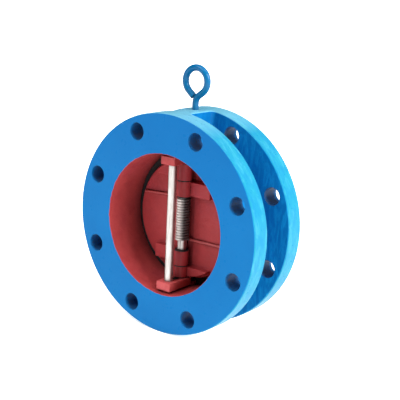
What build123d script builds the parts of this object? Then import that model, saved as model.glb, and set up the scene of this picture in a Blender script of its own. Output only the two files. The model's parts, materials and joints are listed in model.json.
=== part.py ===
from build123d import *
import math
import os

# Dual-plate check valve with two drilled flanges, 6 in size. Millimetres, +Z up.
# The bore runs along Y. The origin is the centre of the inlet flange face, the outlet
# face is at Y = -FACE_TO_FACE, and flow runs towards -Y. Places along the bore are
# given as a depth, measured from the outlet face towards the inlet.

# Flanges and body
FACE_TO_FACE = 98.0
FLANGE_R = 139.7
FLANGE_T = 26.0
BOLT_CIRCLE_R = 120.65
BOLT_COUNT = 8
BOLT_HOLE_R = 11.1
HUB_R = 98.0
GAP_FILLET = 6.5
GAP_OVERRUN = 10.0
EDGE_CHAMFER = 1.2
MOUTH_CHAMFER = 0.8
CHAMBER_R = 89.4
PORT_R = 70.0
PORT_FILLET = 4.0
SEAT_FACE_DEPTH = 63.0
CROSSBAR_W = 26.0
CROSSBAR_NOSE_DEPTH = 90.0

# Seat seal, bonded in a groove of the seat face
SEAL_DEPTH = 60.0
SEAL_T = 6.0
SEAL_IN_R = 71.5
SEAL_OUT_R = 88.5
SEAL_BAR_W = 20.0

# Lifting pad and eyebolt, on top between the flanges
PAD_HALF_W = 15.0
PAD_ARC_R = 40.0
EYE_DEPTH = 56.0
EYE_ROD_R = 4.25
EYE_LOOP_Z = 174.9
EYE_LOOP_RX = 17.0
EYE_LOOP_RZ = 16.8
EYE_START_ANGLE = 53.5
EYE_END_ANGLE = 50.0
EYE_END_RUN = 10.0
EYE_BEND_R = 12.0
EYE_THREAD_Z = 118.0
EYE_HOLE_Z = 115.0

# Hinge line
HINGE_DEPTH = 41.0
HINGE_PIN_R = 5.7
STOP_DEPTH = 17.0
STOP_PIN_R = 5.25
PIN_END_Z = 84.0
PIN_CHAMFER = 0.6
RUNNING_GAP = 0.05
BUSH_WALL = 1.2

# Plates (the two half-disc doors)
PLATE_R = 78.0
PLATE_FACE_DEPTH = 50.8
PLATE_HALF_GAP = 1.0
PLATE_FLAT_Z = 74.9
PLATE_EDGE = 1.2
SEATING_GAP = 0.1
VALLEY_HALF_W = 10.5
VALLEY_DEPTH = 52.6
POCKET_R = 66.0
POCKET_X = 14.0
POCKET_T = 1.5
POCKET_CORNER = 5.0
KNUCKLE_R = 9.5
ARM_FACE_DEPTH = 42.0
ARM_ROOT_DEPTH = 53.0
ARM_LIMIT_R = 75.2
ARM_OVERRUN = 4.0
ARM_NEAR_FLAT = 2.0
ARM_DRAFT = 4.0
ARM_CORNER = 1.5
ARM_EDGE = 1.0
ARM_ROOT_FILLET = 1.5
LEFT_ARM_X = 45.5
RIGHT_ARM_X = 40.5

# Axial stack along the hinge, top to bottom: lowest and highest Z of each piece
STACK = {
    "upper_body_bearing": (73.2, 75.3),
    "left_upper": (52.6, 73.0),
    "upper_plate_bearing": (51.2, 52.4),
    "right_upper": (31.6, 51.0),
    "upper_spring_bearing": (30.2, 31.4),
    "lower_spring_bearing": (-39.8, -38.6),
    "left_lower": (-58.8, -40.0),
    "lower_plate_bearing": (-60.2, -59.0),
    "right_lower": (-74.0, -60.4),
    "lower_body_bearing": (-75.3, -74.2),
}
BEARING_R = 9.1

# Torsion spring
WIRE_R = 1.6
COIL_R = 7.4
COIL_TURNS = 16
COIL_Z = (-26.3, 28.4)
TOP_LEG_TIP = (-71.0, 24.0)
BOTTOM_LEG_TIP = (66.0, -25.5)
LEG_TIP_GAP = 0.1

# Pin retainer blocks and their screws
BLOCK_HALF_W = 11.0
BLOCK_DEPTHS = (6.0, 50.0)
BLOCK_Z = (75.5, 86.5)
BLOCK_EDGE = 0.8
RETAINER_PAD_HALF_W = 6.5
RETAINER_PAD_DEPTHS = (9.0, 47.0)
LUG_DEPTHS = (50.2, 59.6)
LUG_Z = 82.5
SCREW_DEPTH = 28.8
SCREW_R = 3.0
SCREW_HEAD_R = 5.0
SCREW_HEAD_H = 6.0
SCREW_HEAD_Z = 76.0
SCREW_END_Z = 94.5
SCREW_CLEAR = 0.2
HEX_ACROSS_FLATS = 5.0
HEX_SOCKET_DEPTH = 3.0
COUNTERBORE_R = 5.4
TAPPED_END_Z = 95.3


def y_at(depth):
    """Y of a place given as its depth from the outlet face."""
    return depth - FACE_TO_FACE


def bore_rod(radius, depths, x=0.0, z=0.0):
    """Cylinder along the bore, between two depths."""
    low, high = depths
    middle = y_at((low + high) / 2)
    return Pos(x, middle, z) * Rot(90, 0, 0) * Cylinder(radius, high - low)


def upright_rod(radius, zs, depth):
    """Cylinder parallel to the hinge line, between two heights."""
    low, high = zs
    return Pos(0, y_at(depth), (low + high) / 2) * Cylinder(radius, high - low)


def block(xs, depths, zs):
    """Box between two X, two depths and two heights."""
    size = Box(xs[1] - xs[0], depths[1] - depths[0], zs[1] - zs[0])
    return Pos(sum(xs) / 2, y_at(sum(depths) / 2), sum(zs) / 2) * size


def turned_blank():
    """Solid of revolution with the outlet chamber and the inlet port, not yet waisted."""
    outlet = y_at(0)
    seat_face = y_at(SEAT_FACE_DEPTH)
    with BuildSketch(Plane.XY) as section:
        with BuildLine():
            Polyline(
                (CHAMBER_R, outlet),
                (FLANGE_R, outlet),
                (FLANGE_R, 0),
                (PORT_R, 0),
                (PORT_R, seat_face),
                (CHAMBER_R, seat_face),
                close=True,
            )
        make_face()
        chamfer([v for v in section.vertices() if abs(v.X - FLANGE_R) < 0.01], EDGE_CHAMFER)
        mouth = [v for v in section.vertices() if v.X < HUB_R - 1 and abs(v.Y - outlet) < 0.01]
        chamfer(mouth, MOUTH_CHAMFER)
        port_rim = [v for v in section.vertices() if v.X < HUB_R and abs(v.Y) < 0.01]
        fillet(port_rim, PORT_FILLET)
    return revolve(section.sketch, Axis.Y)


def lifting_pad():
    """Prism of the lifting pad, its sides sweeping down into the hub, longer than needed."""
    arc_x = PAD_HALF_W + PAD_ARC_R
    arc_z = math.sqrt((HUB_R + PAD_ARC_R) ** 2 - arc_x**2)
    foot = HUB_R / (HUB_R + PAD_ARC_R)
    foot_x = arc_x * foot
    foot_z = arc_z * foot
    middle_angle = math.atan2(foot_z - arc_z, foot_x - arc_x) / 2 - math.pi / 2
    middle_x = arc_x + PAD_ARC_R * math.cos(middle_angle)
    middle_z = arc_z + PAD_ARC_R * math.sin(middle_angle)
    core_z = HUB_R / 2
    top_z = FLANGE_R + 2 * GAP_OVERRUN
    with BuildSketch(Plane.XZ) as section:
        with BuildLine():
            Line((-PAD_HALF_W, top_z), (PAD_HALF_W, top_z))
            Line((PAD_HALF_W, top_z), (PAD_HALF_W, arc_z))
            ThreePointArc((PAD_HALF_W, arc_z), (middle_x, middle_z), (foot_x, foot_z))
            Line((foot_x, foot_z), (foot_x, core_z))
            Line((foot_x, core_z), (-foot_x, core_z))
            Line((-foot_x, core_z), (-foot_x, foot_z))
            ThreePointArc((-foot_x, foot_z), (-middle_x, middle_z), (-PAD_HALF_W, arc_z))
            Line((-PAD_HALF_W, arc_z), (-PAD_HALF_W, top_z))
        make_face()
    return Pos(0, y_at(FACE_TO_FACE / 2), 0) * extrude(section.sketch, FACE_TO_FACE, both=True)


def flange_gap():
    """Space round the hub between the flanges, interrupted by the lifting pad."""
    depths = (FLANGE_T, FACE_TO_FACE - FLANGE_T)
    gap = bore_rod(FLANGE_R + GAP_OVERRUN, depths)
    gap -= bore_rod(HUB_R, (0, FACE_TO_FACE))
    gap -= lifting_pad()
    inner_corners = []
    for edge in gap.edges():
        point = edge @ 0.5
        lies_flat = edge.bounding_box().size.Y < 0.01
        if lies_flat and math.hypot(point.X, point.Z) < FLANGE_R + GAP_OVERRUN - 0.1:
            inner_corners.append(edge)
    return fillet(inner_corners, GAP_FILLET)


def waisted_body():
    """The two flanges joined by hub and pad, with the gap's mouth broken all round."""
    casting = turned_blank() - flange_gap()
    mouth = []
    for edge in casting.edges():
        point = edge @ 0.5
        on_rim = abs(math.hypot(point.X, point.Z) - FLANGE_R) < 0.02
        if on_rim and y_at(FLANGE_T) - 0.1 < point.Y < 0.1 - FLANGE_T:
            mouth.append(edge)
    return chamfer(mouth, EDGE_CHAMFER)


def crossbar():
    """Upright bar across the port that carries the plates' straight edges."""
    half = CROSSBAR_W / 2
    nose_centre = CROSSBAR_NOSE_DEPTH - half
    bar = block((-half, half), (SEAT_FACE_DEPTH, nose_centre), (-PORT_R - 1, PORT_R + 1))
    bar += upright_rod(half, (-PORT_R - 1, PORT_R + 1), nose_centre)
    return bar & bore_rod(PORT_R + 1, (0, FACE_TO_FACE))


def theta(depths):
    """Ring with a centre bar, the outline of the seat seal and of its groove."""
    half = SEAL_BAR_W / 2
    ring = bore_rod(SEAL_OUT_R, depths) - bore_rod(SEAL_IN_R, depths)
    reach = (SEAL_IN_R + SEAL_OUT_R) / 2
    return ring + (block((-half, half), depths, (-reach, reach)) & bore_rod(reach, depths))


def bolt_holes():
    """The matching bolt holes of both flanges, straddling the vertical."""
    step = 360 / BOLT_COUNT
    holes = []
    for index in range(BOLT_COUNT):
        angle = math.radians(step / 2 + index * step)
        x = BOLT_CIRCLE_R * math.cos(angle)
        z = BOLT_CIRCLE_R * math.sin(angle)
        holes.append(bore_rod(BOLT_HOLE_R, (-1, FACE_TO_FACE + 1), x, z))
    return holes


def retainer_seating(sign):
    """Narrow pad and rear lug in the chamber wall that locate one retainer block."""
    wall = CHAMBER_R + 1
    pad_z = sorted((sign * BLOCK_Z[1], sign * wall))
    lug_z = sorted((sign * LUG_Z, sign * wall))
    pad = block((-RETAINER_PAD_HALF_W, RETAINER_PAD_HALF_W), RETAINER_PAD_DEPTHS, pad_z)
    lug = block((-BLOCK_HALF_W, BLOCK_HALF_W), LUG_DEPTHS, lug_z)
    return pad + lug


def body():
    """Cast body."""
    casting = waisted_body() + crossbar()
    casting += retainer_seating(1)
    casting += retainer_seating(-1)
    for hole in bolt_holes():
        casting -= hole
    casting -= theta((SEAT_FACE_DEPTH, SEAL_DEPTH + SEAL_T))
    for sign in (1, -1):
        tapped = sorted((sign * (BLOCK_Z[1] - 1), sign * TAPPED_END_Z))
        casting -= upright_rod(SCREW_R, tapped, SCREW_DEPTH)
    casting -= upright_rod(EYE_ROD_R, (EYE_HOLE_Z, FLANGE_R + 1), EYE_DEPTH)
    return casting


def seat_seal():
    """Elastomer seat, standing proud of the metal seat face."""
    return theta((SEAL_DEPTH, SEAL_DEPTH + SEAL_T))


def plate_space():
    """Space left of the straight edge and between the flats, which holds the left plate."""
    xs = (-PLATE_R - 1, -PLATE_HALF_GAP)
    return block(xs, (0, FACE_TO_FACE), (-PLATE_FLAT_Z, PLATE_FLAT_Z))


def half_disc():
    """Flat half disc of the left plate, with the shallow pocket of its inlet face."""
    seat = SEAL_DEPTH - SEATING_GAP
    disc = bore_rod(PLATE_R, (PLATE_FACE_DEPTH, seat))
    disc = chamfer(disc.edges().filter_by(GeomType.CIRCLE), PLATE_EDGE)
    return (disc & plate_space()) - inlet_pocket(seat)


def inlet_pocket(seat):
    """Shallow cast pocket in the plate's inlet face, inside its seating band."""
    depths = (seat - POCKET_T, seat + 1)
    pocket = bore_rod(POCKET_R, depths) & block((-PLATE_R, -POCKET_X), depths, (-PLATE_R, PLATE_R))
    return fillet(pocket.edges().filter_by(Axis.Y), POCKET_CORNER)


def arm(reach, zs):
    """Cast arm with drafted sides, from the hinge line to the plate's rim.

    An arm whose knuckle ends near the plate's flat runs on to that flat.
    """
    low, high = zs
    if PLATE_FLAT_Z - high < ARM_NEAR_FLAT:
        high = PLATE_FLAT_Z + ARM_OVERRUN
    with BuildSketch(Plane.XZ) as plan:
        with Locations(((ARM_OVERRUN - reach) / 2, (low + high) / 2)):
            Rectangle(reach + ARM_OVERRUN, high - low)
        Circle(ARM_LIMIT_R, mode=Mode.INTERSECT)
        fillet(plan.vertices(), ARM_CORNER)
    root = Pos(0, y_at(ARM_ROOT_DEPTH), 0) * plan.sketch
    bar = extrude(root, ARM_ROOT_DEPTH - ARM_FACE_DEPTH, taper=ARM_DRAFT)
    bar = fillet(bar.faces().sort_by(Axis.Y)[0].edges(), ARM_EDGE)
    return bar & plate_space()


def arm_roots(door):
    """Edges where the arms meet the plate's face."""
    roots = []
    for edge in door.edges():
        point = edge @ 0.5
        in_face = abs(point.Y - y_at(PLATE_FACE_DEPTH)) < 0.02
        lies_flat = edge.bounding_box().size.Y < 0.02
        inside = math.hypot(point.X, point.Z) < ARM_LIMIT_R + 0.05
        on_side = abs(abs(point.Z) - PLATE_FLAT_Z) < 0.1 or abs(point.X) < PLATE_HALF_GAP + 0.1
        if in_face and lies_flat and inside and not on_side:
            roots.append(edge)
    return roots


def valley(spans):
    """Clearance for the other plate's knuckles, left standing at this plate's arms."""
    xs = (-VALLEY_HALF_W, VALLEY_HALF_W)
    depths = (ARM_FACE_DEPTH - 1, VALLEY_DEPTH)
    channel = block(xs, depths, (-PLATE_R, PLATE_R))
    for zs in spans:
        channel -= block(xs, depths, zs)
    return channel


def left_hand_plate(reach, spans):
    """One door: half disc, two arms ending in knuckles, and the bores for the bushes."""
    door = half_disc()
    for zs in spans:
        door += arm(reach, zs)
    door = fillet(arm_roots(door), ARM_ROOT_FILLET)
    door -= valley(spans)
    for zs in spans:
        door += upright_rod(KNUCKLE_R, zs, HINGE_DEPTH)
        door -= upright_rod(bush_outer_r(), (zs[0] - 1, zs[1] + 1), HINGE_DEPTH)
    return door


def right_hand_plate(reach, spans):
    """The same door turned over about the bore, with its own knuckle heights."""
    turned_spans = [(-high, -low) for low, high in reversed(spans)]
    return Rot(0, 180, 0) * left_hand_plate(reach, turned_spans)


def bush_outer_r():
    """Outer radius of the knuckle bushes."""
    return HINGE_PIN_R + RUNNING_GAP + BUSH_WALL


def bush(zs):
    """Bush pressed into one knuckle, running on the hinge pin."""
    sleeve = upright_rod(bush_outer_r(), zs, HINGE_DEPTH)
    return sleeve - upright_rod(HINGE_PIN_R + RUNNING_GAP, zs, HINGE_DEPTH)


def bearing(zs):
    """Thrust washer on the hinge pin."""
    washer = upright_rod(BEARING_R, zs, HINGE_DEPTH)
    return washer - upright_rod(HINGE_PIN_R + RUNNING_GAP, zs, HINGE_DEPTH)


def pin(radius, depth):
    """Plain pin between the two retainer blocks, chamfered at both ends."""
    rod = upright_rod(radius, (-PIN_END_Z, PIN_END_Z), depth)
    return chamfer(rod.edges().filter_by(GeomType.CIRCLE), PIN_CHAMFER)


def leg(start, tip):
    """Straight spring leg with a rounded end."""
    start = Vector(*start)
    tip = Vector(*tip)
    along = tip - start
    base = Plane(origin=start, z_dir=along)
    rod = base * Cylinder(WIRE_R, along.length, align=(Align.CENTER, Align.CENTER, Align.MIN))
    return rod + Pos(*start) * Sphere(WIRE_R) + Pos(*tip) * Sphere(WIRE_R)


def torsion_spring():
    """Right-handed coil whose two legs lean towards the plates' faces and bear at their tips."""
    low, high = COIL_Z
    height = high - low
    centre = Vector(0, y_at(HINGE_DEPTH), low)
    path = Pos(*centre) * Rot(0, 0, 90) * Helix(height / COIL_TURNS, height, COIL_R)
    wire_section = Plane(origin=path @ 0, z_dir=path % 0) * Circle(WIRE_R)
    coil = sweep(wire_section, path=path, is_frenet=True)
    leg_y = centre.Y + COIL_R
    tip_y = y_at(PLATE_FACE_DEPTH) - WIRE_R - LEG_TIP_GAP
    bottom = leg((0, leg_y, low), (BOTTOM_LEG_TIP[0], tip_y, BOTTOM_LEG_TIP[1]))
    top = leg((0, leg_y, high), (TOP_LEG_TIP[0], tip_y, TOP_LEG_TIP[1]))
    return coil + bottom + top


def pin_retainer(sign):
    """Block that holds one end of both pins, screwed to the chamber wall."""
    zs = sorted((sign * BLOCK_Z[0], sign * BLOCK_Z[1]))
    bar = block((-BLOCK_HALF_W, BLOCK_HALF_W), BLOCK_DEPTHS, zs)
    bar = chamfer(bar.edges(), BLOCK_EDGE)
    pin_hole = sorted((sign * (BLOCK_Z[0] - 1), sign * (PIN_END_Z + SCREW_CLEAR)))
    bar -= upright_rod(HINGE_PIN_R + RUNNING_GAP, pin_hole, HINGE_DEPTH)
    bar -= upright_rod(STOP_PIN_R + RUNNING_GAP, pin_hole, STOP_DEPTH)
    head_hole = sorted((sign * (BLOCK_Z[0] - 1), sign * (SCREW_HEAD_Z + SCREW_HEAD_H)))
    bar -= upright_rod(COUNTERBORE_R, head_hole, SCREW_DEPTH)
    shank_hole = sorted((sign * BLOCK_Z[0], sign * (BLOCK_Z[1] + 1)))
    return bar - upright_rod(SCREW_R + SCREW_CLEAR, shank_hole, SCREW_DEPTH)


def retainer_screw(sign):
    """M6 socket cap screw through one retainer block."""
    under_head = SCREW_HEAD_Z + SCREW_HEAD_H
    head = upright_rod(SCREW_HEAD_R, (SCREW_HEAD_Z, under_head), SCREW_DEPTH)
    head = chamfer(head.edges().filter_by(GeomType.CIRCLE).sort_by(Axis.Z)[0], PIN_CHAMFER)
    hexagon = RegularPolygon(HEX_ACROSS_FLATS / 2, 6, major_radius=False)
    socket = extrude(hexagon, HEX_SOCKET_DEPTH)
    head -= Pos(0, y_at(SCREW_DEPTH), SCREW_HEAD_Z) * socket
    screw = head + upright_rod(SCREW_R, (under_head, SCREW_END_Z), SCREW_DEPTH)
    if sign < 0:
        return mirror(screw, about=Plane.XY)
    return screw


def eyebolt():
    """Lifting eye bent from one rod: shank, lean to the right, open loop back to the shank."""
    turn = math.radians(EYE_START_ANGLE)
    start_x = EYE_LOOP_RX * math.cos(turn)
    start_z = EYE_LOOP_Z - EYE_LOOP_RZ * math.sin(turn)
    lean = math.atan2(EYE_LOOP_RX * math.sin(turn), EYE_LOOP_RZ * math.cos(turn))
    bend_x = EYE_BEND_R * (1 - math.cos(lean))
    bend_z = start_z - (start_x - bend_x) / math.tan(lean) - EYE_BEND_R * math.sin(lean)
    with BuildLine(Plane.XZ) as route:
        shank = Line((0, EYE_THREAD_Z), (0, bend_z))
        bend = JernArc(shank @ 1, (0, 1), EYE_BEND_R, -math.degrees(lean))
        Line(bend @ 1, (start_x, start_z))
        loop = EllipticalCenterArc(
            (0, EYE_LOOP_Z),
            EYE_LOOP_RX,
            EYE_LOOP_RZ,
            start_angle=-EYE_START_ANGLE,
            arc_size=EYE_START_ANGLE + 180 + EYE_END_ANGLE,
        )
        Line(loop @ 1, loop @ 1 + (loop % 1) * EYE_END_RUN)
    path = Pos(0, y_at(EYE_DEPTH), 0) * route.wire()
    section = Plane(origin=path @ 0, z_dir=path % 0) * Circle(EYE_ROD_R)
    rod = sweep(section, path=path)
    end = rod.faces().filter_by(GeomType.PLANE).sort_by(Axis.Z)[-1]
    return fillet(end.edges(), EYE_ROD_R / 4)


def sub_parts():
    """Every node of the assembly, by name."""
    left_spans = (STACK["left_upper"], STACK["left_lower"])
    right_spans = (STACK["right_upper"], STACK["right_lower"])
    parts = {
        "body": body(),
        "seat_seal": seat_seal(),
        "left_plate": left_hand_plate(LEFT_ARM_X, left_spans),
        "right_plate": right_hand_plate(RIGHT_ARM_X, right_spans),
        "left_plate_upper_bush": bush(STACK["left_upper"]),
        "left_plate_lower_bush": bush(STACK["left_lower"]),
        "right_plate_upper_bush": bush(STACK["right_upper"]),
        "right_plate_lower_bush": bush(STACK["right_lower"]),
        "hinge_pin": pin(HINGE_PIN_R, HINGE_DEPTH),
        "stop_pin": pin(STOP_PIN_R, STOP_DEPTH),
        "torsion_spring": torsion_spring(),
        "upper_pin_retainer": pin_retainer(1),
        "lower_pin_retainer": pin_retainer(-1),
        "upper_retainer_screw": retainer_screw(1),
        "lower_retainer_screw": retainer_screw(-1),
        "eyebolt": eyebolt(),
    }
    for name, zs in STACK.items():
        if name.endswith("_bearing"):
            parts[name] = bearing(zs)
    return parts


os.makedirs("parts", exist_ok=True)
for node_name, shape in sub_parts().items():
    export_step(shape, f"parts/{node_name}.step")
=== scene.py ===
import json
import math

import bpy
from mathutils import Matrix, Vector


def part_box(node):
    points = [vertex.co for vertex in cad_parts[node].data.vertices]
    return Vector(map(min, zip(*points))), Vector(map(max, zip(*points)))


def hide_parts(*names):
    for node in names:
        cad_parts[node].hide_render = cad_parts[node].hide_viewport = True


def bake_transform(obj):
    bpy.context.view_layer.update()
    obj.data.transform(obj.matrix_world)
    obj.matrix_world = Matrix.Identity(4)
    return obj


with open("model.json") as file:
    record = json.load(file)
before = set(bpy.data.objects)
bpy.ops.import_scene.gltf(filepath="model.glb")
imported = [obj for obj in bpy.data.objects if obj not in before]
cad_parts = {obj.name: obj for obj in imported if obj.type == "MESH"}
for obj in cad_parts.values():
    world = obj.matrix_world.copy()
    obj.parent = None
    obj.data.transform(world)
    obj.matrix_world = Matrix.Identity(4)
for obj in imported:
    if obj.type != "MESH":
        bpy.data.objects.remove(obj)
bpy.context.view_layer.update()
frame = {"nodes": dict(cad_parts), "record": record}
nodes = frame["nodes"]

# Camera: where it aims, how it is turned, and its lens
AIM = Vector((0.0088, -0.0348, 0.0238))
AZIMUTH = 37.48
ELEVATION = 13.94
ROLL = 2.77
DISTANCE = 1.183
LENS = 83.4
SENSOR = 36.0

# Places taken from the frame
body_low, body_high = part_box("body")
pin_low, pin_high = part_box("hinge_pin")
OUTLET_Y = body_low.y
INLET_Y = body_high.y
FLOOR_Z = body_low.z
HINGE_Y = (pin_low.y + pin_high.y) / 2

# The body's own sizes, as the part is designed
FLANGE_T = 0.026
BOLT_CIRCLE_R = 0.12065
BOLT_COUNT = 8
BOLT_HOLE_R = 0.0111
CHAMBER_PAINT_R = 0.0899
PORT_PAINT_R = 0.0730
SEAT_Y = OUTLET_Y + 0.063
RIM_BAND = 0.0009

# Torsion spring
WIRE_R = 0.0016
COIL_R = 0.0074
COIL_TURNS = 16
COIL_Z = (-0.0263, 0.0284)
TOP_LEG_TIP = (-0.071, 0.024)
BOTTOM_LEG_TIP = (0.066, -0.0255)
LEG_TIP_Y = 0.0081
LEG_PAINT_R = 0.0100
STEPS_PER_TURN = 40
LEG_STEPS = 24

# Colours, linear
BLUE = (0.002, 0.118, 0.325)
BLUE_DEEP = (0.001, 0.090, 0.290)
BLUE_LIGHT = (0.004, 0.150, 0.385)
# Lifting eye: a darker copy of the body's blue, as painted shade
EYE_SHADED_BLUE = (0.001, 0.095, 0.235)
EYE_SHADED_DEEP = (0.001, 0.060, 0.170)
BLUE_STROKE = (0.008, 0.300, 0.620)
# Paler cyan blue of rims and edges: partly their own coat, partly painted light
BLUE_RIM = (0.012, 0.210, 0.300)
# Pale blue of the rim's top: painted highlight
BLUE_TOP_HIGHLIGHT = (0.220, 0.460, 0.560)
BLUE_CHALKY = (0.070, 0.360, 0.430)
# Painted shade in the corners and gaps of the blue parts
BLUE_CORNER_SHADE = (0.002, 0.030, 0.110)
RED = (0.315, 0.040, 0.041)
RED_DEEP = (0.230, 0.026, 0.029)
RED_LIGHT = (0.450, 0.070, 0.069)
PLATE_RED = (0.300, 0.030, 0.034)
# Paler red for the lower retainer's lit copy of the paint: painted light
RED_LIT_PALE = (0.560, 0.120, 0.118)
RED_WINE = (0.250, 0.026, 0.050)
# Painted shade in the corners and gaps of the red parts
RED_CORNER_SHADE = (0.016, 0.006, 0.006)
BARE_IRON = (0.040, 0.046, 0.060)
STEEL = (0.56, 0.54, 0.515)
STEEL_DARK = (0.34, 0.31, 0.29)
# Painted shade on steel, in corners, between spring turns and on the spring's +X side
STEEL_SHADE = (0.05, 0.045, 0.045)
SPRING_STEEL = (0.78, 0.74, 0.71)
SCREW_DARK = (0.20, 0.20, 0.20)
RUBBER = (0.012, 0.012, 0.013)
RUBBER_BLOOM = (0.035, 0.034, 0.033)
# Black filled PTFE, made nearly black so the rings also stand in as painted shade between the knuckles
PTFE_BLACK_AND_SHADE = (0.008, 0.008, 0.009)
PTFE_BLACK_FLECK = (0.016, 0.015, 0.015)
PTFE_PALE = (0.42, 0.38, 0.31)
PTFE_PALE_FLECK = (0.30, 0.26, 0.20)
FLOOR = (0.88, 0.88, 0.88)

# Light
WORLD_TOWARDS = (0.80, 0.50, 0.35)
WORLD_DIM = 0.04
WORLD_BRIGHT = 1.1
FLOOR_GLOW = 0.65
FLOOR_REACH = 30.0
# Each lamp's name, where it shines from, its spread in degrees and its strength
LAMPS = (
    ("key_right", (1.0, 0.03, 0.60), 35, 4.9),
    ("front_fill", (-0.42, -1.0, 1.05), 34, 1.55),
    ("top_gloss", (0.40, 0.0, 0.92), 22, 1.1),
    ("top_soft", (-0.15, -0.50, 1.0), 50, 1.1),
)


# --------------------------------------------------------------- shader helper
class Shader:
    """A Principled material, with short ways to add and join its nodes."""

    def __init__(self, name):
        self.material = bpy.data.materials.new(name)
        self.material.use_nodes = True
        self.tree = self.material.node_tree
        self.tree.nodes.clear()
        output = self.add("ShaderNodeOutputMaterial")
        self.surface = self.add("ShaderNodeBsdfPrincipled")
        self.tree.links.new(self.surface.outputs["BSDF"], output.inputs["Surface"])
        self.place = self.add("ShaderNodeTexCoord").outputs["Object"]

    def add(self, kind, **settings):
        node = self.tree.nodes.new(kind)
        for key, value in settings.items():
            setattr(node, key, value)
        return node

    def feed(self, socket, value):
        if isinstance(value, (int, float)):
            socket.default_value = value
        elif isinstance(value, tuple):
            socket.default_value = (*value, 1.0)[: len(socket.default_value)]
        else:
            self.tree.links.new(value, socket)

    def math(self, operation, first, second=0.0):
        node = self.add("ShaderNodeMath", operation=operation)
        self.feed(node.inputs[0], first)
        self.feed(node.inputs[1], second)
        return node.outputs[0]

    def axes(self):
        node = self.add("ShaderNodeSeparateXYZ")
        self.feed(node.inputs[0], self.place)
        return node.outputs[0], node.outputs[1], node.outputs[2]

    def length(self, first, second):
        squares = self.math("ADD", self.math("MULTIPLY", first, first), self.math("MULTIPLY", second, second))
        return self.math("SQRT", squares)

    def noise(self, scale, detail=4.0, roughness=0.55, stretch=(1.0, 1.0, 1.0), warp=0.0):
        scaled = self.add("ShaderNodeVectorMath", operation="MULTIPLY")
        self.feed(scaled.inputs[0], self.place)
        scaled.inputs[1].default_value = stretch
        node = self.add("ShaderNodeTexNoise")
        self.feed(node.inputs["Vector"], scaled.outputs[0])
        node.inputs["Scale"].default_value = scale
        node.inputs["Detail"].default_value = detail
        node.inputs["Roughness"].default_value = roughness
        node.inputs["Distortion"].default_value = warp
        return node.outputs["Fac"]

    def cells(self, scale):
        node = self.add("ShaderNodeTexVoronoi", feature="SMOOTH_F1")
        self.feed(node.inputs["Vector"], self.place)
        node.inputs["Scale"].default_value = scale
        return node.outputs["Distance"]

    def spread(self, value, low, high, to_low=0.0, to_high=1.0):
        node = self.add("ShaderNodeMapRange")
        self.feed(node.inputs["Value"], value)
        for key, number in (("From Min", low), ("From Max", high), ("To Min", to_low), ("To Max", to_high)):
            node.inputs[key].default_value = number
        return node.outputs["Result"]

    def mix(self, factor, first, second):
        node = self.add("ShaderNodeMix", data_type="RGBA")
        self.feed(node.inputs[0], factor)
        self.feed(node.inputs[6], first)
        self.feed(node.inputs[7], second)
        return node.outputs[2]

    def blend(self, factor, first, second):
        node = self.add("ShaderNodeMix", data_type="FLOAT")
        self.feed(node.inputs[0], factor)
        self.feed(node.inputs[2], first)
        self.feed(node.inputs[3], second)
        return node.outputs[0]

    def corner(self, distance, low, high, inside=False):
        """1 in gaps and inner corners within the distance, or on outer edges if inside."""
        node = self.add("ShaderNodeAmbientOcclusion", samples=8, inside=inside)
        node.inputs["Distance"].default_value = distance
        return self.spread(node.outputs["AO"], low, high, 1.0, 0.0)

    def bump(self, height, strength, distance, below=None):
        node = self.add("ShaderNodeBump")
        self.feed(node.inputs["Strength"], strength)
        node.inputs["Distance"].default_value = distance
        self.feed(node.inputs["Height"], height)
        if below is not None:
            self.feed(node.inputs["Normal"], below)
        return node.outputs["Normal"]

    def finish(self, colour, roughness, normal=None, **values):
        self.feed(self.surface.inputs["Base Color"], colour)
        self.feed(self.surface.inputs["Roughness"], roughness)
        if normal is not None:
            self.feed(self.surface.inputs["Normal"], normal)
        for key, value in values.items():
            self.surface.inputs[key.replace("_", " ")].default_value = value
        return self.material


# ------------------------------------------------------------------- materials
def mottled(shader, deep, main, light, clouding=0.30):
    """Paint colour that drifts from place to place, with finer clouding over it."""
    broad = shader.spread(shader.noise(14, 3), 0.35, 0.65)
    fine = shader.spread(shader.noise(90, 5), 0.30, 0.70)
    base = shader.mix(shader.math("MULTIPLY", broad, 0.35), main, light)
    return shader.mix(shader.math("MULTIPLY", fine, clouding), base, deep)


def blue_paint(name):
    """Glossy blue epoxy on its own, as on the lifting eye: a darker copy of the body's blue, as painted shade
    for dark reflections.
    """
    shader = Shader(name)
    colour = mottled(shader, EYE_SHADED_DEEP, EYE_SHADED_BLUE, BLUE_RIM, 0.45)
    # Painted shade: darker in corners and gaps
    colour = shader.mix(shader.math("MULTIPLY", shader.corner(0.006, 0.3, 0.9), 0.8), colour, BLUE_CORNER_SHADE)
    roughness = shader.spread(shader.noise(160, 3), 0.3, 0.7, 0.16, 0.28)
    normal = shader.bump(shader.noise(650, 3), 0.12, 0.0002)
    normal = shader.bump(shader.noise(130, 3), 0.15, 0.0006, normal)
    return shader.finish(
        colour, roughness, normal, Specular_IOR_Level=0.10, Coat_Weight=0.12, Coat_Roughness=0.08
    )


def red_with_corner_shade(shader, deep, main, light):
    """Red paint with random stains, and painted shade in its corners and gaps."""
    red = mottled(shader, deep, main, light)
    stain = shader.spread(shader.noise(45, 6, 0.70), 0.48, 0.72)
    red = shader.mix(shader.math("MULTIPLY", stain, 0.50), red, deep)
    bloom = shader.spread(shader.noise(24, 4, 0.6), 0.50, 0.75)
    red = shader.mix(shader.math("MULTIPLY", bloom, 0.35), red, RED_WINE)
    # Painted shade: darker in tight corners and in wider recesses
    tight = shader.math("MULTIPLY", shader.corner(0.0035, 0.25, 0.80), 0.85)
    wide = shader.math("MULTIPLY", shader.corner(0.016, 0.15, 0.90), 0.40)
    return shader.mix(shader.math("MAXIMUM", tight, wide), red, RED_CORNER_SHADE)


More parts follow.
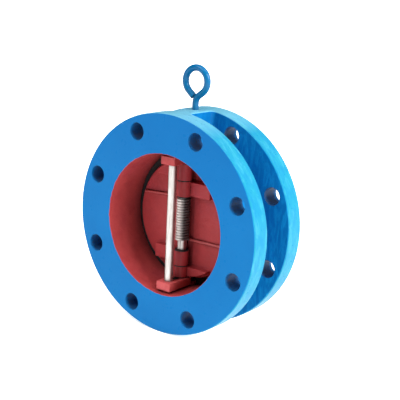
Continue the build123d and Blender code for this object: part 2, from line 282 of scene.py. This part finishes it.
def red_paint(name, deep, main, light):
    """Satin brick-red epoxy over a sand casting."""
    shader = Shader(name)
    colour = red_with_corner_shade(shader, deep, main, light)
    # Outer edges lighter: partly paint worn thin, partly a painted highlight
    edge_wear_and_highlight = shader.math("MULTIPLY", shader.corner(0.0012, 0.25, 0.60, inside=True), 0.25)
    colour = shader.mix(edge_wear_and_highlight, colour, light)
    roughness = shader.spread(shader.noise(220, 4), 0.3, 0.7, 0.40, 0.56)
    normal = shader.bump(shader.noise(900, 4), 0.30, 0.0002)
    normal = shader.bump(shader.cells(260), 0.30, 0.0004, normal)
    normal = shader.bump(shader.noise(120, 4), 0.60, 0.0012, normal)
    return shader.finish(colour, roughness, normal, Specular_IOR_Level=0.16)


def hole_distance(shader, x, z, radius):
    """Distance to the nearest bolt hole's axis, by folding the circle into one hole's share."""
    step = 2 * math.pi / BOLT_COUNT
    turned = shader.math("ARCTAN2", z, x)
    share = shader.math("SUBTRACT", shader.math("FLOORED_MODULO", turned, step), step / 2)
    along = shader.math("MULTIPLY", radius, shader.math("COSINE", share))
    along = shader.math("SUBTRACT", along, BOLT_CIRCLE_R)
    across = shader.math("MULTIPLY", radius, shader.math("SINE", share))
    return shader.length(along, across)


def body_paint(name):
    """Blue outside, red in the bore, thin paint over drilled iron in the bolt holes."""
    shader = Shader(name)
    x, y, z = shader.axes()
    radius = shader.length(x, z)
    wobble = shader.spread(shader.noise(120, 2), 0.3, 0.7, -0.0003, 0.0003)
    towards_inlet = shader.math("GREATER_THAN", y, SEAT_Y)
    edge = shader.blend(towards_inlet, CHAMBER_PAINT_R, PORT_PAINT_R)
    in_bore = shader.math("LESS_THAN", shader.math("ADD", radius, wobble), edge)
    to_hole = shader.math("ADD", hole_distance(shader, x, z, radius), wobble)
    in_hole = shader.math("LESS_THAN", to_hole, BOLT_HOLE_R + 0.0004)
    middle = (OUTLET_Y + INLET_Y) / 2
    half_length = (INLET_Y - OUTLET_Y) / 2
    from_middle = shader.math("ABSOLUTE", shader.math("SUBTRACT", y, middle))

    # Between the flanges the casting is left rough, and the brush has left its strokes
    gap_edge = half_length - FLANGE_T
    as_cast = shader.spread(from_middle, gap_edge + 0.0002, gap_edge + 0.0012, 1.0, 0.0)
    on_rim = shader.math("GREATER_THAN", radius, body_high.z - RIM_BAND)
    blue = mottled(shader, BLUE_DEEP, BLUE, BLUE_LIGHT, 0.12)
    strokes = shader.spread(shader.noise(130, 5, 0.65, (1.4, 1.0, 0.30), 0.9), 0.44, 0.70)
    strokes = shader.math("MULTIPLY", shader.math("MULTIPLY", strokes, as_cast), 0.50)
    blue = shader.mix(strokes, blue, BLUE_STROKE)

    # Painted shade: the blue is deeper towards the top. The rim is a paler cyan blue, partly its own rolled
    # coat and partly painted light of the side lamp, with chalky streaks, and paler still on top as a painted
    # highlight
    upwards = shader.spread(z, 0.0, 0.135)
    blue = shader.mix(shader.math("MULTIPLY", upwards, 0.45), blue, BLUE_DEEP)
    # Rim tint: partly the rim's own rolled coat, partly painted light of the side lamp
    rolled_and_lit = shader.spread(shader.noise(70, 5, 0.6, (1.0, 2.4, 1.0)), 0.35, 0.70, 0.55, 1.0)
    blue = shader.mix(shader.math("MULTIPLY", on_rim, rolled_and_lit), blue, BLUE_RIM)
    chalk = shader.spread(shader.noise(38, 6, 0.7, (1.0, 3.0, 1.0), 0.6), 0.50, 0.72, 0.0, 0.55)
    blue = shader.mix(shader.math("MULTIPLY", on_rim, chalk), blue, BLUE_CHALKY)
    # Painted highlight: the rim is paler still on top
    top_highlight = shader.math("MULTIPLY", on_rim, shader.spread(z, 0.118, 0.140, 0.0, 0.45))
    blue = shader.mix(top_highlight, blue, BLUE_TOP_HIGHLIGHT)
    # Outer edges lighter: partly paint worn thin, partly a painted highlight
    edge_wear_and_highlight = shader.math("MULTIPLY", shader.corner(0.0016, 0.20, 0.60, inside=True), 0.45)
    blue = shader.mix(edge_wear_and_highlight, blue, BLUE_RIM)
    # Painted shade: darker in corners and gaps
    corner_shade = shader.math("MULTIPLY", shader.corner(0.010, 0.20, 0.85), 0.30)
    blue = shader.mix(corner_shade, blue, BLUE_CORNER_SHADE)

    drilled = shader.spread(shader.noise(300, 4, 0.6, (1.0, 4.0, 1.0)), 0.3, 0.7)
    iron = shader.mix(drilled, BARE_IRON, BLUE_DEEP)
    ragged = shader.spread(shader.noise(260, 4), 0.3, 0.7, -0.003, 0.003)
    inwards = shader.math("ADD", shader.math("SUBTRACT", half_length, from_middle), ragged)
    bare = shader.math("MULTIPLY", in_hole, shader.spread(inwards, 0.002, 0.006, 0.25, 0.90))
    colour = shader.mix(in_bore, blue, red_with_corner_shade(shader, RED_DEEP, RED, RED_LIGHT))
    colour = shader.mix(bare, colour, iron)

    gloss = shader.spread(shader.noise(160, 3), 0.3, 0.7, 0.26, 0.38)
    satin = shader.spread(shader.noise(220, 4), 0.3, 0.7, 0.40, 0.54)
    roughness = shader.blend(in_bore, gloss, satin)
    peel = shader.bump(shader.noise(650, 3), 0.05, 0.0002)
    rough_cast = shader.math("MULTIPLY", shader.math("MAXIMUM", as_cast, in_bore), 0.45)
    normal = shader.bump(shader.noise(150, 5, 0.6), rough_cast, 0.0010, peel)
    normal = shader.bump(shader.noise(35, 2), 0.12, 0.0020, normal)
    return shader.finish(colour, roughness, normal, Specular_IOR_Level=0.06)


def bar_steel(name, base, dark, low, high):
    """Bright drawn bar with lengthwise streaks, stains and faint turning marks, and painted shade in its
    corners and gaps.
    """
    shader = Shader(name)
    grain = shader.noise(900, 4, 0.6, (1.0, 1.0, 0.03))
    streaks = shader.spread(shader.noise(260, 4, 0.65, (1.0, 1.0, 0.12), 0.4), 0.44, 0.64)
    turning = shader.noise(700, 3, 0.6, (0.05, 0.05, 1.0))
    smudge = shader.spread(shader.noise(45, 4), 0.40, 0.75)
    colour = shader.mix(shader.math("MULTIPLY", smudge, 0.35), base, dark)
    colour = shader.mix(shader.math("MULTIPLY", streaks, 0.75), colour, dark)
    # Painted shade: darker in corners and gaps
    pin_corner_shade = shader.math("MULTIPLY", shader.corner(0.006, 0.2, 0.9), 0.7)
    colour = shader.mix(pin_corner_shade, colour, STEEL_SHADE)
    roughness = shader.spread(shader.math("ADD", grain, turning), 0.7, 1.3, low, high)
    normal = shader.bump(grain, 0.12, 0.0001)
    normal = shader.bump(turning, 0.08, 0.0001, normal)
    return shader.finish(colour, roughness, normal, Metallic=1.0)


def spring_wire(name):
    """Steel wire on the coil, with painted shade between its turns and on its +X side, and red paint on the
    legs beyond it.
    """
    shader = Shader(name)
    x, y, _ = shader.axes()
    reach = shader.length(x, shader.math("SUBTRACT", y, HINGE_Y))
    wobble = shader.spread(shader.noise(400, 3), 0.3, 0.7, -0.0004, 0.0008)
    painted = shader.math("GREATER_THAN", shader.math("ADD", reach, wobble), LEG_PAINT_R)
    smudge = shader.spread(shader.noise(120, 4), 0.35, 0.70)
    steel = shader.mix(shader.math("MULTIPLY", smudge, 0.4), SPRING_STEEL, STEEL_DARK)
    red = mottled(shader, RED_DEEP, RED, RED_LIGHT)
    # Painted shade: darker between the turns and towards the coil's +X side
    turn_gap_shade = shader.math("MULTIPLY", shader.corner(0.0025, 0.10, 0.60), 0.25)
    side_shade = shader.spread(x, 0.0020, 0.0065, 0.0, 0.90)
    steel = shader.mix(shader.math("MAXIMUM", turn_gap_shade, side_shade), steel, STEEL_SHADE)
    colour = shader.mix(painted, steel, red)
    scratches = shader.noise(1400, 3, 0.6)
    bare = shader.spread(scratches, 0.3, 0.7, 0.50, 0.66)
    roughness = shader.blend(painted, bare, 0.5)
    shader.feed(shader.surface.inputs["Metallic"], shader.math("SUBTRACT", 1.0, painted))
    return shader.finish(colour, roughness, shader.bump(scratches, 0.15, 0.0001))


def rubber(name):
    """Moulded black elastomer."""
    shader = Shader(name)
    bloom = shader.spread(shader.noise(80, 4), 0.40, 0.75, 0.0, 0.25)
    colour = shader.mix(bloom, RUBBER, RUBBER_BLOOM)
    roughness = shader.spread(shader.noise(300, 3), 0.3, 0.7, 0.55, 0.75)
    normal = shader.bump(shader.noise(1200, 3), 0.2, 0.0001)
    return shader.finish(colour, roughness, normal, Specular_IOR_Level=0.2)


def polymer(name, base, dark):
    """Filled PTFE, turned, with a soft sheen."""
    shader = Shader(name)
    flecks = shader.spread(shader.noise(1600, 3), 0.45, 0.70)
    colour = shader.mix(shader.math("MULTIPLY", flecks, 0.5), base, dark)
    turning = shader.noise(1500, 2, 0.5, (1.0, 1.0, 0.1))
    roughness = shader.spread(turning, 0.3, 0.7, 0.42, 0.58)
    return shader.finish(colour, roughness, shader.bump(turning, 0.1, 0.0001), Specular_IOR_Level=0.25)


def paper_floor(name):
    """Pale studio floor with a barely visible grain."""
    shader = Shader(name)
    shade = shader.mix(shader.noise(3, 3), FLOOR, tuple(c * 1.03 for c in FLOOR))
    grain = shader.bump(shader.noise(500, 2), 0.03, 0.0005)
    return shader.finish(
        shade, 0.7, grain, Emission_Color=(1.0, 1.0, 1.0, 1.0), Emission_Strength=FLOOR_GLOW
    )


def paint_nodes():
    """Gives every shown CAD node its procedural material."""
    red = red_paint("plate_red", RED_DEEP, PLATE_RED, RED)
    # Painted light: the lower retainer gets a lit, paler copy of the red paint, the upper one a shaded,
    # darker copy
    lit_red = red_paint("lower_retainer_lit_red", RED, RED_LIGHT, RED_LIT_PALE)
    shaded_red = red_paint("upper_retainer_shaded_red", RED_DEEP, RED, RED_LIGHT)
    blue = blue_paint("eye_blue")
    pins = bar_steel("pin_steel", STEEL, STEEL_DARK, 0.34, 0.52)
    screws = bar_steel("screw_steel", STEEL_DARK, SCREW_DARK, 0.28, 0.45)
    # The thrust rings: black PTFE, partly its own colour and partly painted shade in the knuckle gaps
    dark_ring = polymer("bearing_ptfe", PTFE_BLACK_AND_SHADE, PTFE_BLACK_FLECK)
    pale_ring = polymer("bush_ptfe", PTFE_PALE, PTFE_PALE_FLECK)
    by_slot = {
        "body_paint": blue,
        "plate_paint": red,
        "stainless_pin": pins,
        "stainless_screw": screws,
        "seal_rubber": rubber("seat_rubber"),
        "bearing_polymer": dark_ring,
        "bush_polymer": pale_ring,
        "spring_steel": pins,
    }
    slots = {row["node"]: row["material_slot"] for row in frame["record"]["subparts"]}
    for name, node in nodes.items():
        node.data.materials.clear()
        node.data.materials.append(by_slot[slots[name]])
    nodes["body"].data.materials[0] = body_paint("body_two_tone")
    # The retainers' shaded and lit copies of the red paint: painted shade and painted light
    nodes["upper_pin_retainer"].data.materials[0] = shaded_red
    nodes["lower_pin_retainer"].data.materials[0] = lit_red


# ---------------------------------------------------------------------- pieces
def tube(name, points, radius, sides=20):
    """Closed tube of one radius along a line of points, with domed ends."""
    vertices = []
    faces = []
    side = Vector((0, 0, 1))
    last = len(points) - 1
    for index, point in enumerate(points):
        ahead = points[min(index + 1, last)] - points[max(index - 1, 0)]
        along = ahead.normalized()
        side = (side - along * side.dot(along)).normalized()
        across = along.cross(side)
        for corner in range(sides):
            angle = 2 * math.pi * corner / sides
            vertices.append(point + (side * math.cos(angle) + across * math.sin(angle)) * radius)
        if index:
            start = (index - 1) * sides
            for corner in range(sides):
                following = (corner + 1) % sides
                beyond = start + sides
                faces.append((start + corner, start + following, beyond + following, beyond + corner))
    for start, outward in ((0, points[0] - points[1]), (last * sides, points[last] - points[last - 1])):
        vertices.append(sum((vertices[start + corner] for corner in range(sides)), Vector()) / sides
                        + outward.normalized() * radius * 0.6)
        tip = len(vertices) - 1
        for corner in range(sides):
            rim = (start + corner, start + (corner + 1) % sides)
            faces.append((rim[1], rim[0], tip) if start == 0 else (rim[0], rim[1], tip))
    mesh = bpy.data.meshes.new(name)
    mesh.from_pydata([tuple(v) for v in vertices], [], faces)
    mesh.shade_smooth()
    piece = bpy.data.objects.new(name, mesh)
    bpy.context.scene.collection.objects.link(piece)
    return piece


def coil_point(share):
    """Point on the coil's centreline, share running from 0 at the bottom to 1 at the top."""
    angle = math.pi / 2 + 2 * math.pi * COIL_TURNS * share
    height = COIL_Z[0] + (COIL_Z[1] - COIL_Z[0]) * share
    return Vector((COIL_R * math.cos(angle), HINGE_Y + COIL_R * math.sin(angle), height))


def spring_half(name, from_share, to_share, leg_tip):
    """Half of the coil with its leg."""
    steps = int(COIL_TURNS * abs(to_share - from_share) * STEPS_PER_TURN)
    run = to_share - from_share
    points = [coil_point(from_share + run * step / steps) for step in range(steps + 1)]
    root = points[-1]
    tip = Vector((leg_tip[0], HINGE_Y + LEG_TIP_Y, leg_tip[1]))
    points += [root.lerp(tip, step / LEG_STEPS) for step in range(1, LEG_STEPS + 1)]
    piece = tube(name, points, WIRE_R)
    piece.data.materials.append(spring_wire(name + "_wire"))
    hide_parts("torsion_spring")
    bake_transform(piece)
    return piece


# -------------------------------------------------------- floor, light, camera
def soft_sun(name, source, spread, strength):
    """Distant lamp shining from the source's direction, with soft-edged shadows."""
    lamp = bpy.data.lights.new(name, "SUN")
    lamp.angle = math.radians(spread)
    lamp.energy = strength
    holder = bpy.data.objects.new(name, lamp)
    holder.rotation_euler = (-Vector(source)).to_track_quat("-Z", "Y").to_euler()
    bpy.context.scene.collection.objects.link(holder)


def surroundings():
    """White backdrop that lights the object from one side only."""
    world = bpy.data.worlds.new("studio_white")
    world.use_nodes = True
    tree = world.node_tree
    seen = tree.nodes["Background"]
    seen.inputs["Strength"].default_value = 1.0
    seen.inputs["Color"].default_value = (1.0, 1.0, 1.0, 1.0)
    lit = tree.nodes.new("ShaderNodeBackground")
    direction = tree.nodes.new("ShaderNodeTexCoord")
    facing = tree.nodes.new("ShaderNodeVectorMath")
    facing.operation = "DOT_PRODUCT"
    facing.inputs[1].default_value = WORLD_TOWARDS
    fall = tree.nodes.new("ShaderNodeMapRange")
    fall.interpolation_type = "SMOOTHSTEP"
    fall.inputs["To Min"].default_value = WORLD_DIM
    fall.inputs["To Max"].default_value = WORLD_BRIGHT
    ray = tree.nodes.new("ShaderNodeLightPath")
    choice = tree.nodes.new("ShaderNodeMixShader")
    links = tree.links
    links.new(direction.outputs["Generated"], facing.inputs[0])
    links.new(facing.outputs["Value"], fall.inputs["Value"])
    links.new(fall.outputs["Result"], lit.inputs["Strength"])
    links.new(ray.outputs["Is Camera Ray"], choice.inputs[0])
    links.new(lit.outputs[0], choice.inputs[1])
    links.new(seen.outputs[0], choice.inputs[2])
    links.new(choice.outputs[0], tree.nodes["World Output"].inputs["Surface"])
    return world


def studio():
    """Pale floor, white surroundings and four soft lamps, the strongest from the right."""
    mesh = bpy.data.meshes.new("floor")
    signs = ((-1, -1), (1, -1), (1, 1), (-1, 1))
    corners = [(x * FLOOR_REACH, y * FLOOR_REACH, FLOOR_Z) for x, y in signs]
    mesh.from_pydata(corners, [], [(0, 1, 2, 3)])
    floor = bpy.data.objects.new("floor", mesh)
    bpy.context.scene.collection.objects.link(floor)
    mesh.materials.append(paper_floor("floor_paper"))
    bpy.context.scene.world = surroundings()
    for name, source, spread, strength in LAMPS:
        soft_sun(name, source, spread, strength)
    bpy.context.scene.view_settings.view_transform = "Standard"


def camera():
    """Camera on the outlet side, a little above and to the right."""
    azimuth, elevation, roll = (math.radians(a) for a in (AZIMUTH, ELEVATION, ROLL))
    level_part = math.cos(elevation)
    ahead = Vector((-math.sin(azimuth) * level_part, math.cos(azimuth) * level_part, -math.sin(elevation)))
    level = ahead.cross(Vector((0, 0, 1))).normalized()
    above = level.cross(ahead)
    right = level * math.cos(roll) + above * math.sin(roll)
    up = above * math.cos(roll) - level * math.sin(roll)
    data = bpy.data.cameras.new("camera")
    data.lens = LENS
    data.sensor_width = SENSOR
    holder = bpy.data.objects.new("camera", data)
    turn = Matrix((right, up, -ahead)).transposed().to_4x4()
    holder.matrix_world = Matrix.Translation(AIM - ahead * DISTANCE) @ turn
    bpy.context.scene.collection.objects.link(holder)
    bpy.context.scene.camera = holder


paint_nodes()
spring_half("spring_upper_half", 0.5, 1.0, TOP_LEG_TIP)
spring_half("spring_lower_half", 0.5, 0.0, BOTTOM_LEG_TIP)
studio()
camera()
